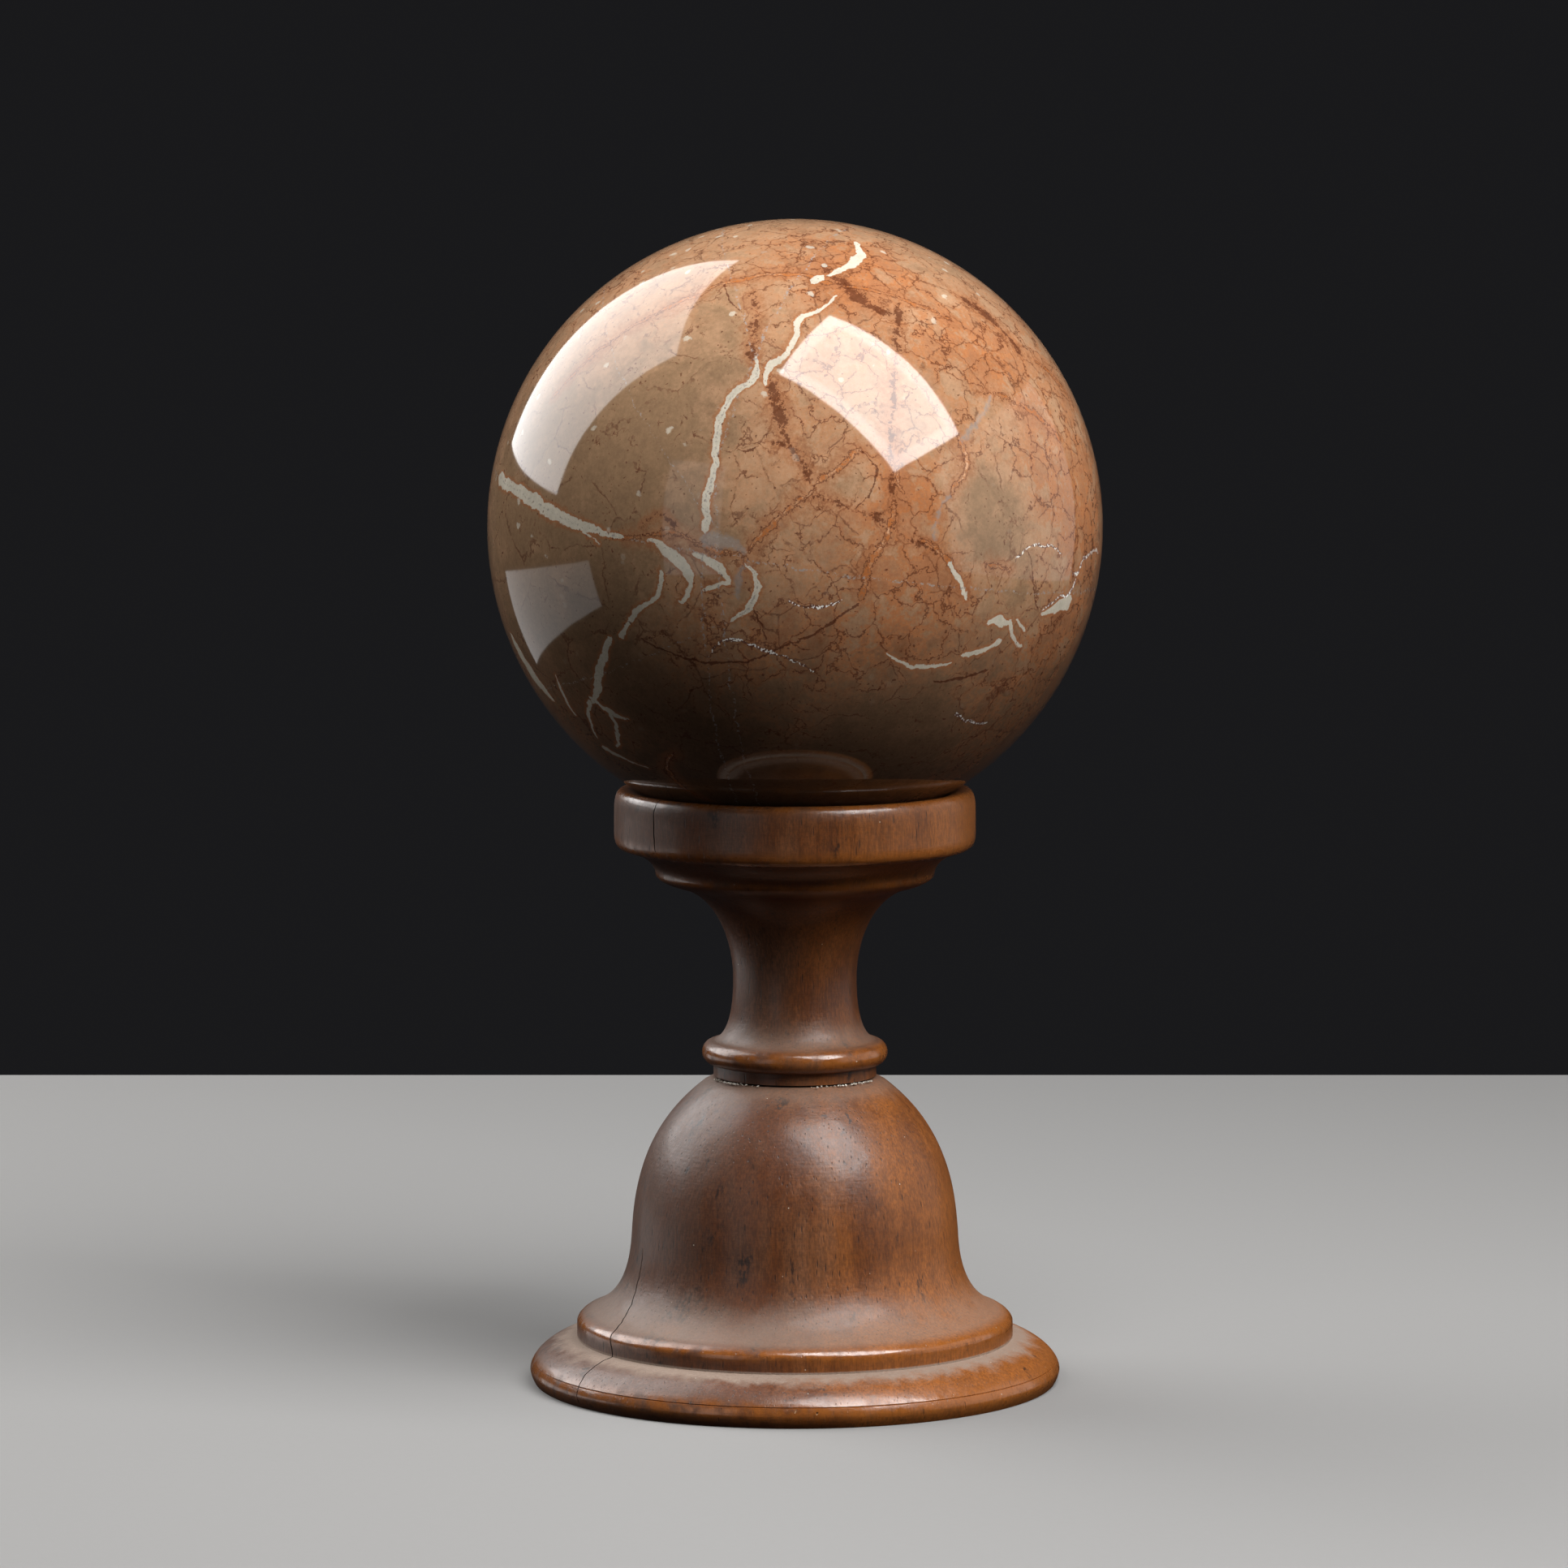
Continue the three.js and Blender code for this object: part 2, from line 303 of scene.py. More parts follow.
# Veins as they run over the ball: what fills them, then their stations. A station is an azimuth
# (0 at the front, towards +X), an elevation, both in degrees, and the vein's width there in mm.
VEINS = [
    # the wide vein that comes round from the left, and its offshoot
    ("cored", [(-74, 10, 3.2), (-64, 8.5, 3.0), (-51.5, 5.5, 3.2), (-42, 3, 2.2), (-33, 1.5, 1.0)]),
    ("cream", [(-42, 2, 0.7), (-38, 0, 0.3)]),
    # its thin orange continuation to the middle
    ("ember", [(-33, 1.5, 0.7), (-27, 2, 0.6), (-22.5, 2.5, 0.6), (-14, -0.5, 0.9), (-8, -1.5, 0.5)]),
    ("oxblood", [(-29, 3.5, 0.3), (-25, 5.5, 0.5), (-22, 3.5, 0.3)]),
    # the tall vein, from near the crown down to the middle
    ("cream", [(32, 68.5, 1.8), (27.5, 64, 2.4), (22, 60.5, 2.2), (17, 58.5, 1.6), (11, 56.5, 1.2)]),
    ("cream", [(8, 56, 2.4), (5, 54.5, 1.6)]),
    ("cream", [(12, 50.5, 0.5), (6, 47, 1.0), (1, 44.5, 1.7), (0, 40.5, 1.5), (-3, 36, 1.2)]),
    ("cream", [(-3, 36, 1.2), (-5, 34.5, 1.9), (-6.5, 30.5, 1.3)]),
    ("cored", [(-9, 36, 0.5), (-8.5, 32.5, 1.6), (-13.5, 27, 1.6), (-15, 21, 1.7), (-15, 15, 1.6)]),
    ("cored", [(-15, 15, 1.6), (-16, 10, 1.8), (-16.5, 3, 1.6)]),
    # the broken hooks below the middle
    ("cream", [(-27.5, 1, 0.7), (-25, 0.5, 2.2), (-21.5, -2.5, 3.6), (-19, -5.5, 2.6)]),
    ("cream", [(-19, -5.5, 1.6), (-19.5, -7.5, 1.2), (-21.5, -9.5, 1.1)]),
    ("cream", [(-18.5, -1, 0.8), (-15, -2.5, 2.2), (-12, -6, 1.3)]),
    ("cream", [(-12, -6, 1.2), (-16.5, -7.5, 0.9)]),
    ("cored", [(-8.5, -3.5, 1.4), (-7, -6.5, 1.6), (-8.5, -10.5, 1.5), (-12, -13, 0.8)]),
    ("cream", [(-25, -4.5, 1.1), (-25.5, -8, 1.2), (-30, -11.5, 1.2), (-34.5, -17, 1.4)]),
    ("cream", [(-37.5, -17.5, 1.6), (-42.5, -24, 2.0), (-46.5, -29, 2.0), (-49, -31, 1.4)]),
    # the net low on the left
    ("cream", [(-49, -30, 1.2), (-44, -33.5, 1.4), (-40, -34.5, 0.6)]),
    ("cream", [(-44.5, -33.5, 1.2), (-46, -38.5, 1.0), (-50, -42, 0.9)]),
    ("cream", [(-50, -31, 1.0), (-53, -35, 1.1), (-56, -40, 0.6)]),
    ("cream", [(-58.5, -26, 0.5), (-59.5, -31.5, 1.1), (-59, -35.5, 0.6)]),
    ("cream", [(-57, -43, 1.6), (-50, -45.5, 0.8), (-44, -47.5, 0.5)]),
    ("cream", [(-76, -20, 2.6), (-71.5, -27, 4.6), (-67, -32, 1.8)]),
    ("ember", [(-32.5, -43, 1.6), (-37.5, -50, 1.0), (-30, -58, 0.6)]),
    # the white hook, blobs and wedge on the right
    ("cream", [(39, -15, 1.2), (41.5, -14.5, 2.4), (44.5, -15, 1.0)]),
    ("cream", [(44.5, -14.5, 1.2), (46.5, -18, 0.8), (49, -20, 0.9)]),
    ("cream", [(42.5, -18.5, 1.6), (40.5, -19.5, 1.0), (34.5, -20.5, 1.2)]),
    ("cream", [(46.5, -14.5, 0.6), (49.5, -16.5, 0.9)]),
    ("cream", [(63, -12, 4.0), (58, -13, 2.4), (53.5, -14, 0.8)]),
    ("cream", [(17.5, -19.5, 0.5), (21, -21.5, 0.8), (26, -22.5, 0.8), (32, -22, 0.5)]),
    ("cream", [(29, -3.5, 0.8), (30.5, -5.5, 1.2), (33, -9.5, 0.6)]),
    ("slate", [(43.5, 27, 0.7), (38.5, 22.5, 0.9), (33.5, 19, 0.8)]),
    ("ember", [(33, 20, 0.8), (33.5, 14.5, 1.5), (30, 9.5, 0.8)]),
    ("slate", [(29, 9, 0.8), (27, 6.5, 0.8), (25.5, 1.5, 0.5)]),
    # grey calcite where the veins meet in the middle
    ("slate", [(-16.5, 1.5, 3.0), (-13, 1, 3.2), (-9, -1, 1.4)]),
    ("slate", [(-9, -3, 1.4), (-10.5, -6, 1.5), (-10.5, -9, 1.0)]),
    # the orange crossing in front, with the tan fragment that it frames
    ("ember", [(12.5, 18, 0.8), (6, 13, 0.9), (0.5, 8, 0.9), (-6.5, 2, 0.9), (-10, -5, 0.5)]),
    ("oxblood", [(2, 10, 0.8), (8, 8, 1.0), (16, 5, 0.9)]),
    ("oxblood", [(16, 4, 0.9), (20, 2, 0.7), (27, -1, 0.6)]),
    ("hairline", [(12.5, 18, 0.3), (15, 14, 0.5), (13.5, 10, 0.3), (11, 7.5, 0.4)]),
    ("ember", [(23, 1.5, 0.4), (27, -1, 0.9), (32, -8, 0.7)]),
    ("oxblood", [(29.5, 48, 1.0), (24, 39, 0.8), (20, 27, 0.5), (18, 18, 0.8), (18, 10, 1.2)]),
    ("ember", [(18, 8, 0.6), (16.5, 2.5, 1.2), (13.5, -3, 0.9), (12, -9, 0.6)]),
    ("ember", [(19.5, 15, 0.5), (19, 12.5, 0.9), (20, 9.5, 0.5)]),
    # the long arc below the crown
    ("ember", [(-59, 26.5, 0.4), (-47.5, 39.5, 0.6), (-35, 47.5, 0.8), (-20, 55, 1.0)]),
    ("ember", [(-20, 55, 1.0), (-0.5, 57, 1.0), (11, 54, 0.5), (27, 51, 0.7), (43, 43.5, 0.5)]),
    # pale lines high on the right
    ("ember", [(42, 28, 0.4), (49.5, 26, 0.6), (56.5, 23, 0.7), (62, 18, 0.5)]),
    ("ember", [(67.5, 34, 0.4), (73, 30.5, 0.8), (77.5, 26, 0.6)]),
    ("ember", [(36.5, -3.5, 0.3), (38.5, -4, 0.5), (42.5, -5, 0.7)]),
    # dark red bands, blots and hairlines
    ("oxblood", [(-12, 51, 1.2), (-10, 42.5, 1.8), (-9.5, 36, 1.2)]),
    ("oxblood", [(-5, 30, 2.4), (-3.5, 25, 2.2), (-1, 19, 1.4)]),
    ("oxblood", [(-4, 19, 0.8), (0, 17, 1.6), (2.5, 12, 1.6)]),
    ("oxblood", [(54, 49.5, 1.0), (58, 46, 3.0), (60.5, 41.5, 1.2), (62, 36, 1.6)]),
    ("oxblood", [(10, 60, 2.2), (16, 52, 3.0), (24, 46, 2.0)]),
    ("hairline", [(-7.5, -11, 0.5), (-5.5, -16.5, 0.4)]),
    ("hairline", [(-30, -17, 0.4), (-16, -21.5, 0.6), (-2, -18, 0.5), (12, -10, 0.7)]),
    ("hairline", [(-22, 53.5, 0.3), (-19, 50, 0.4), (-15, 46.5, 0.3)]),
    ("hairline", [(-10.5, 18, 0.3), (-8.5, 17.4, 0.6), (-7, 18.4, 0.3)]),
    ("hairline", [(29, -25.5, 0.5), (35, -25.5, 0.7), (41.5, -23.5, 0.5)]),
    ("hairline", [(47.5, -2, 0.3), (50, -9, 0.4), (52, -13, 0.3)]),
]

# Open seams lined with crystals, given the same way; the glints of light off the crystals are painted in as
# pale dashes.
OPEN_SEAMS = [
    [(-1, -9.5, 0.5), (3, -10.5, 0.8), (8, -9.5, 0.5)],
    [(-16, -19, 0.5), (-12, -17, 0.6), (-6, -18.5, 0.6), (-1, -20.5, 0.5), (4, -23, 0.5)],
    [(44, -3, 0.4), (46.5, -1.5, 0.5), (52.5, -1, 0.5), (58, -3, 0.4)],
    [(62, -6, 0.6), (64.5, -7, 0.8), (68, -4.5, 0.6), (78.5, -3.5, 0.7)],
    [(65, -8, 0.6), (62.5, -10.5, 0.8), (58.5, -11, 0.6), (53, -13.5, 0.5)],
    [(37, -33, 0.4), (41.5, -35, 0.7), (49, -36, 0.4)],
]

# Where the ground of the stone turns rusty (above 0) or olive (below 0): azimuth and elevation of
# the middle of each patch and its reach, in degrees, then how much it turns.
GROUND_PATCHES = [
    (18, -8, 24, 0.50),
    (64, 18, 38, 0.45),
    (30, 46, 26, 0.35),
    (22, 10, 12, 0.35),
    (70, -22, 30, 0.35),
    (10, 62, 20, 0.45),
    (-12, -24, 20, 0.30),
    (-2, 24, 12, 0.20),
    (-50, 2, 42, -0.55),
    (38, 5, 14, -0.70),
    (9, 12, 7, -0.60),
    (44, 23, 8, -0.45),
    (50, -8, 12, -0.35),
    (-12, -48, 34, -0.40),
    (24, -38, 18, -0.40),
    (-28, 26, 24, -0.35),
    (120, 20, 40, 0.40),
    (165, -15, 36, -0.30),
    (-135, 10, 40, 0.35),
]


def towards(azimuth, elevation):
    """The direction from the ball's centre, as a unit vector."""
    a, e = math.radians(azimuth), math.radians(elevation)
    return Vector((math.sin(a) * math.cos(e), -math.cos(a) * math.cos(e), math.sin(e)))


def in_own_frame(route, radius):
    """A route seen from above its middle: its axes along and across, and its stations in mm."""
    points = [towards(azimuth, elevation) * radius for azimuth, elevation, _ in route]
    along = (points[-1] - points[0]).normalized()
    across = (points[0] + points[-1]).cross(along).normalized()
    return along, across, [(p.dot(along), p.dot(across)) for p in points]


def vein_distances(m, place, routes, radius):
    """Distances in mm from the nearest vein's edge, below 0 inside it, and from its middle."""
    edges, middles = None, None
    for route in routes:
        along, across, stations = in_own_frame(route, radius)
        run = m.vector("DOT_PRODUCT", place, along)
        middle = abs(m.vector("DOT_PRODUCT", place, across) - m.curve(run, stations))
        halves = [(x, width / 2) for (x, _), (_, _, width) in zip(stations, route)]
        (first, thin_start), (last, thin_end) = halves[0], halves[-1]
        tapered = [(first - 1, thin_start - 1), *halves, (last + 1, thin_end - 1)]
        edge = middle - m.curve(run, tapered, "VECTOR")
        edges = edge if edges is None else edges.least(edge)
        middles = middle if middles is None else middles.least(middle)
    return edges, middles


def ground_turn(m, place, radius):
    """How rusty or olive the ground is, from the patches."""
    total = None
    for azimuth, elevation, reach, amount in GROUND_PATCHES:
        distance = m.vector("DISTANCE", place, towards(azimuth, elevation) * radius)
        reach = 2 * math.sin(math.radians(reach) / 2) * radius
        patch = distance.rise(reach * 1.1, reach * 0.3) * amount
        total = patch if total is None else total + patch
    return total


def marble_material(sizes, look):
    """Polished breccia: stained fragments, webs of cracks, and calcite veins laid over them."""
    material, m = new_material("polished_marble")
    radius = sizes.ball_radius / MM
    place = m.vector("SUBTRACT", m.place(), (0, 0, sizes.ball_centre / MM))
    side, depth, up = m.split(place.scaled(1 / radius))

    # Wandering: every line in the stone is pulled about a little, in swings from 6 mm down.
    wander = m.vector("SUBTRACT", m.noise(place, 6, 4, 0.62, take=1), (0.5, 0.5, 0.5))
    broken = m.vector("ADD", place, wander.scaled(3.6))
    cloud = m.noise(place, 24, 1) - 0.5
    mottle = m.noise(place, 4.2, 5, 0.75) - 0.5
    speck = m.noise(place, 0.8, 2, 0.75) - 0.5
    ragged = speck * 0.7 + mottle * 1.3

    # The ground leans to rust or to olive, by regions and in ragged blots.
    blot = m.noise(broken, 9, 6, 0.72) - 0.5
    turn = ground_turn(m, broken, radius)
    lean = turn + cloud * 0.8 + blot * 2.2
    ground = m.mix(lean.rise(0.10, -0.60), look.tan, look.olive)
    ground = m.mix((lean + mottle * 1.6).rise(0.10, 0.95) * 0.85, ground, look.rust)
    # Towards the bottom the ground darkens to umber: partly darker stone, partly painted shade on the ball's
    # underside.
    low = (up + cloud * 0.4 - blot * 0.3).rise(0.05, -0.60)
    ground = m.mix(low * 0.62, ground, look.umber)

    # Where rust stops short, it has gathered in a dark, ragged front.
    rusty = (turn + cloud + 0.30).held()
    front = abs(blot + mottle * 0.25).rise(0.055, 0.005) * rusty
    ground = m.mix(front * 0.55, ground, look.ember)
    spots = (blot + mottle * 1.4 + speck * 0.8).rise(0.22, 0.40) * (rusty * 0.8 + 0.2)
    ground = m.mix(spots * 0.5, ground, look.oxblood)

    # Fragments: straight dark joints between big ones, fine curling cracks within.
    far = m.vector("ADD", place, m.vector("ADD", wander.scaled(5), (31, 7, 12)))
    tone = m.split(m.cells(far, 16, take=1))[0]
    joint = m.cells(far, 16, "DISTANCE_TO_EDGE") * 16
    curl = m.cells(m.vector("ADD", place, wander.scaled(9)), 8, "DISTANCE_TO_EDGE") * 8
    halo = (curl + ragged * 1.6).rise(1.3, 0.0) * rusty
    ground = m.mix(halo * 0.5, ground, look.rust)
    threads = (curl + speck * 0.3).rise(0.26, 0.04) * (mottle + rusty * 0.3).rise(0.0, 0.16)
    ground = m.mix(threads * 0.7, ground, look.oxblood)
    joints = (joint + speck * 0.3).rise(0.30, 0.06) * blot.rise(-0.04, 0.05)
    ground = m.mix(joints * 0.55, ground, look.oxblood)

    # Veins that were followed one by one.
    routes = {kind: [r for k, r in VEINS if k == kind] for kind in dict(VEINS)}
    cream_edge, _ = vein_distances(m, broken, routes["cream"], radius)
    cored_edge, core = vein_distances(m, broken, routes["cored"], radius)
    slate_edge, _ = vein_distances(m, broken, routes["slate"], radius)
    ember_edge, _ = vein_distances(m, broken, routes["ember"], radius)
    oxblood_edge, _ = vein_distances(m, broken, routes["oxblood"], radius)
    hair_edge, _ = vein_distances(m, broken, routes["hairline"], radius)
    seam_edge, _ = vein_distances(m, broken, OPEN_SEAMS, radius)
    followed = depth.rise(0.06, -0.02)
    cream_edge = cream_edge.least(cored_edge) + ragged * 0.8

    # Veins on the far side, where none was followed: the edges of big fragments, swelling and dying.
    web = m.cells(m.vector("ADD", broken, (13, 57, -20)), 44, "DISTANCE_TO_EDGE") * 44
    swelling = m.noise(place, 15, 2).rise(0.45, 0.75) * 1.9
    cream_edge = cream_edge + (1 - followed) * 20
    cream_edge = cream_edge.least(web + (depth + cloud * 0.4).rise(0.75, 0.50) * 9 - swelling)

    # Rust that has spread from the veins.
    near = ember_edge.least(oxblood_edge)
    stain = (near + ragged * 6).rise(3.4, 0.2) * followed
    ground = m.mix(stain * 0.55, ground, look.rust)
    fringe = (cream_edge + ragged * 2.0).rise(1.1, 0.1)
    ground = m.mix(fringe * 0.6, ground, look.rust)

    # Their fillings.
    granular = (oxblood_edge + ragged * 5.5).rise(0.30, -0.55)
    ground = m.mix(granular * followed * 0.75, ground, look.oxblood)
    hairs = (hair_edge + speck * 0.6).rise(0.10, -0.12)
    ground = m.mix(hairs * followed * 0.8, ground, look.oxblood)
    strands = ember_edge + ragged * 2.6
    filled = strands.rise(0.10, -0.25) * speck.rise(-0.12, 0.04)
    ground = m.mix(filled * followed * 0.9, ground, m.mix(mottle.rise(-0.05, 0.10), look.ember, look.peach))
    rim = abs(strands - 0.10).rise(0.26, 0.04) * followed
    ground = m.mix(rim * 0.7, ground, look.oxblood)
    ground = m.mix((slate_edge + ragged * 2.4).rise(0.5, -0.6) * followed * 0.6, ground, look.slate)
    outline = abs(cream_edge - 0.25).rise(0.34, 0.1) * mottle.rise(-0.06, 0.06)
    ground = m.mix(outline * 0.75, ground, look.rust)
    milk = m.mix(speck.rise(0.02, 0.22) * 0.4, look.cream, look.slate)
    ground = m.mix(cream_edge.rise(0.10, -0.14), ground, milk)
    dots = core.rise(0.38, 0.14) * speck.rise(0.0, 0.10) * followed
    ground = m.mix(dots * 0.8, ground, look.slate)

    # Specks: pale shell crumbs up on the left, dark flecks everywhere.
    crumb = m.cells(broken, 3.4) * 3.4
    pick = m.split(m.cells(broken, 3.4, take=1))[0]
    upper_left = (up - side * 0.6).rise(0.15, 0.55)
    crumbs = (crumb + speck).rise(0.95, 0.55) * pick.rise(0.84, 0.88) * (upper_left * 0.6 + 0.06)
    ground = m.mix(crumbs, ground, look.cream)
    grit = m.noise(place, 0.75, 0) + mottle * 0.6
    ground = m.mix(grit.rise(0.78, 0.84) * 0.7, ground, look.oxblood)

    # Open seams: dark, with pale dashes along them that are painted glints of light off their crystals.
    open_seam = (seam_edge + ragged).rise(0.12, -0.1) * followed
    ground = m.mix(open_seam * 0.85, ground, look.oxblood)
    painted_glint = m.noise(place, 0.5, 0).rise(0.50, 0.60)
    ground = m.mix(open_seam * painted_glint, ground, (0.85, 0.82, 0.76))

    # Each fragment has its own tone, and the whole a fine grain.
    shade = (tone - 0.5) * 0.12 + mottle * 0.7 + speck * 0.5 + 0.97
    shades = m.node("ShaderNodeCombineXYZ", sockets={0: shade, 1: shade, 2: shade})
    m.finish(
        {
            "Base Color": m.vector("MULTIPLY", ground, shades),
            "Roughness": mottle * 0.06 + look.polish + open_seam * 0.3,
            "Normal": m.bump(m.noise(place, 9, 1), 0.02 * MM),
            "IOR": 1.5,
        }
    )
    return material


# ---- the wood ----


def wood_material(sizes, look):
    """Old polished hardwood: streaked along the axis, stained, worn bright on its arrises."""
    material, m = new_material("worn_hardwood")
    place = m.place()
    x, y, z = m.split(place)
    reach = m.vector("LENGTH", m.vector("MULTIPLY", place, (1, 1, 0)))

    def ring(radius, height, size):
        """1 on a ring around the axis, fading out over the size given."""
        there = m.node("ShaderNodeCombineXYZ", sockets={0: reach, 2: z})
        return m.vector("DISTANCE", there, (radius, 0, height)).rise(size, 0.0)

    # The grain runs up the axis: noise pulled out along z.
    def drawn(length):
        return m.vector("MULTIPLY", place, (1, 1, 1 / length))

    streak = m.noise(drawn(14), 2.4, 4, 0.65)
    figure = m.noise(drawn(4), 12, 3, 0.6)
    fibre = m.noise(drawn(7), 0.42, 3, 0.6)
    cloud = m.noise(place, 22, 3, 0.55)
    speckle = m.noise(drawn(1.6), 0.6, 3, 0.7)

    warm = (x * 0.016 + (cloud - 0.5) * 1.6 + (figure - 0.5) * 1.3 + (streak - 0.5) * 0.8).rise(-0.25, 0.75)
    colour = m.mix(warm, look.heart, look.glow)
    dull = ((figure - 0.5) * 2.2 - x * 0.022 + (cloud - 0.5)).rise(-0.1, 0.7)
    colour = m.mix(dull * 0.62, colour, look.bloom)
    dark = (speckle * 0.45 + fibre * 0.55).rise(0.62, 0.40)
    colour = m.mix(dark * 0.42, colour, look.black)

    # Pores: short dark dashes along the grain.
    pore = m.cells(drawn(8), 0.85)
    pore_pick = m.split(m.cells(drawn(8), 0.85, take=1))[0]
    pores = (pore * 0.85).rise(0.20, 0.08) * pore_pick.rise(0.35, 0.55)
    colour = m.mix(pores * 0.7, colour, look.black)

    # Blue-black stains, in broken upright patches.
    stain = m.noise(drawn(3.2), 5.5, 5, 0.72) + (cloud - 0.5) * 0.35 - warm * 0.05
    stains = stain.rise(0.56, 0.68) * m.noise(drawn(2), 0.9, 2).rise(0.40, 0.56)
    colour = m.mix(stains * 0.8, colour, look.black)

    # Worn arrises.
    cup = sizes.cup_radius / MM
    foot = sizes.foot_radius / MM
    top = sizes.cup_top / MM
    worn = ring(cup - 1.2, top - 12.6, 3.4).most(ring(cup - 1.6, top - 0.6, 2.4))
    worn = worn.most(ring(49.9, 14.4, 2.6)).most(ring(21.2, 76.4, 3.4))
    worn = worn.most(ring(foot - 0.4, 3.6, 4.2)).most(ring(32.2, 117.2, 1.6))
    worn = worn * m.noise(place, 3.5, 4, 0.6).rise(0.28, 0.62)
    colour = m.mix(worn * 0.75, colour, look.glow)

    # Dust: thick in the step of the foot, thin on the flare and around the collar; on the flare and in the
    # hollow above the collar the same grey-beige also paints the softboxes' pinkish sheen.
    ragged = m.noise(place, 4.5, 4, 0.62)
    step = (reach + (ragged - 0.5) * 9).rise(57.0, 51.5) * z.rise(6.5, 8.5) * z.rise(10.9, 10.5)
    flare = (z + (ragged - 0.5) * 9).rise(27, 17) * z.rise(15.0, 16.6)
    collar = (z + (ragged - 0.5) * 6).rise(86, 79.5) * z.rise(78.0, 79.2)
    crown = (z + (ragged - 0.5) * 5).rise(65.0, 70.0) * z.rise(70.6, 70.5)
    patchiness = m.noise(place, 0.55, 3, 0.7)
    dust_and_sheen = (step * 0.95).most(flare * 0.42).most(collar * 0.35).most(crown * 0.35)
    dust_and_sheen = (dust_and_sheen * (patchiness + 0.45)).held()
    colour = m.mix(dust_and_sheen, colour, look.dust_and_sheen)
    mote = m.cells(place, 1.9)
    mote_pick = m.split(m.cells(place, 1.9, take=1))[2]
    motes = (mote * 1.9).rise(0.20, 0.10) * mote_pick.rise(0.955, 0.965)
    colour = m.mix(motes * 0.8, colour, (0.62, 0.56, 0.47))

    roughness = (streak - 0.5) * 0.3 + look.gloss + (1 - worn) * 0.04 - worn * 0.2
    roughness = (roughness + dust_and_sheen * 0.45 + dull * 0.05).most(0.12)
    lathe = m.noise(m.vector("MULTIPLY", place, (0.12, 0.12, 1)), 0.5, 3, 0.6)
    dents = m.noise(place, 3.0, 3, 0.5)
    relief = fibre * 0.030 + lathe * 0.030 + dents * 0.10 - pores * 0.05 + dust_and_sheen * patchiness * 0.05
    m.finish(
        {
            "Base Color": colour,
            "Roughness": roughness,
            "Coat Weight": (worn * 0.6 + 0.08) * (1 - dust_and_sheen),
            "Coat Roughness": 0.12,
            "Normal": m.bump(relief, MM),
            "IOR": 1.5,
        }
    )
    return material


def split_shade_material(look):
    """The inside of a drying split, and of the pits: nearly black, painted shade in the recess."""
    material, m = new_material("split_shade")
    shade_mottle = m.noise(m.place(), 0.5, 3, 0.6)
    m.finish({"Base Color": m.mix(shade_mottle * 0.2, look.black, look.bloom), "Roughness": 0.8})
    return material


def bare_material(look):
    """Fresh wood where a knock has taken the finish off."""
    material, m = new_material("bare_wood")
    fibre = m.noise(m.vector("MULTIPLY", m.place(), (1, 1, 0.2)), 0.3, 3, 0.6)
    colour = m.mix(fibre.rise(0.3, 0.7), look.heart, look.bare)
    m.finish({"Base Color": colour, "Roughness": 0.6, "Normal": m.bump(fibre, 0.05 * MM)})
    return material


def wax_material():
    """Dried wax, dusty and off-white."""
    material, m = new_material("old_wax")
    lump = m.noise(m.place(), 0.4, 3, 0.6)
    colour = m.mix(lump.rise(0.35, 0.65), (0.42, 0.36, 0.28), (0.80, 0.76, 0.68))
    m.finish({"Base Color": colour, "Roughness": 0.55, "Normal": m.bump(lump, 0.08 * MM)})
    return material


# ---- outlines of the turnings, as (radius, height) in millimetres ----

STEP = 0.9  # distance between points along an outline


def along(curve, rough_length):
    """Points along a curve of one parameter, about STEP apart."""
    count = max(3, math.ceil(rough_length / STEP))
    return [curve(i / count) for i in range(count + 1)]


def bezier(*controls):
    """A Bezier curve through its first and last control, pulled by the ones between."""

    def at(t):
        points = [Vector(c) for c in controls]
        while len(points) > 1:
            points = [a.lerp(b, t) for a, b in zip(points, points[1:])]
        return points[0]

    corners = [Vector(c) for c in controls]
    return along(at, sum((b - a).length for a, b in zip(corners, corners[1:])))


def bead(neck, radius, bottom, top):
    """A half-round bead standing out from a neck."""
    middle, up = (bottom + top) / 2, (top - bottom) / 2

    def at(t):
        angle = math.pi * (t - 0.5)
        return Vector((neck + (radius - neck) * math.cos(angle), middle + up * math.sin(angle)))

    return along(at, 2 * math.pi * up)


def scored(points, radius, width, depth):
    """Presses a fine V line into an outline where it passes a radius, at its first point there."""
    i = next(i for i, p in enumerate(points) if p.x < radius)
    before, after = points[i - 1], points[i]
    run = (after - before).normalized()
    inward = Vector((-run.y, run.x))
    middle = (before + after) / 2
    notch = [middle - run * width / 2, middle + inward * depth, middle + run * width / 2]
    return points[:i] + notch + points[i:]


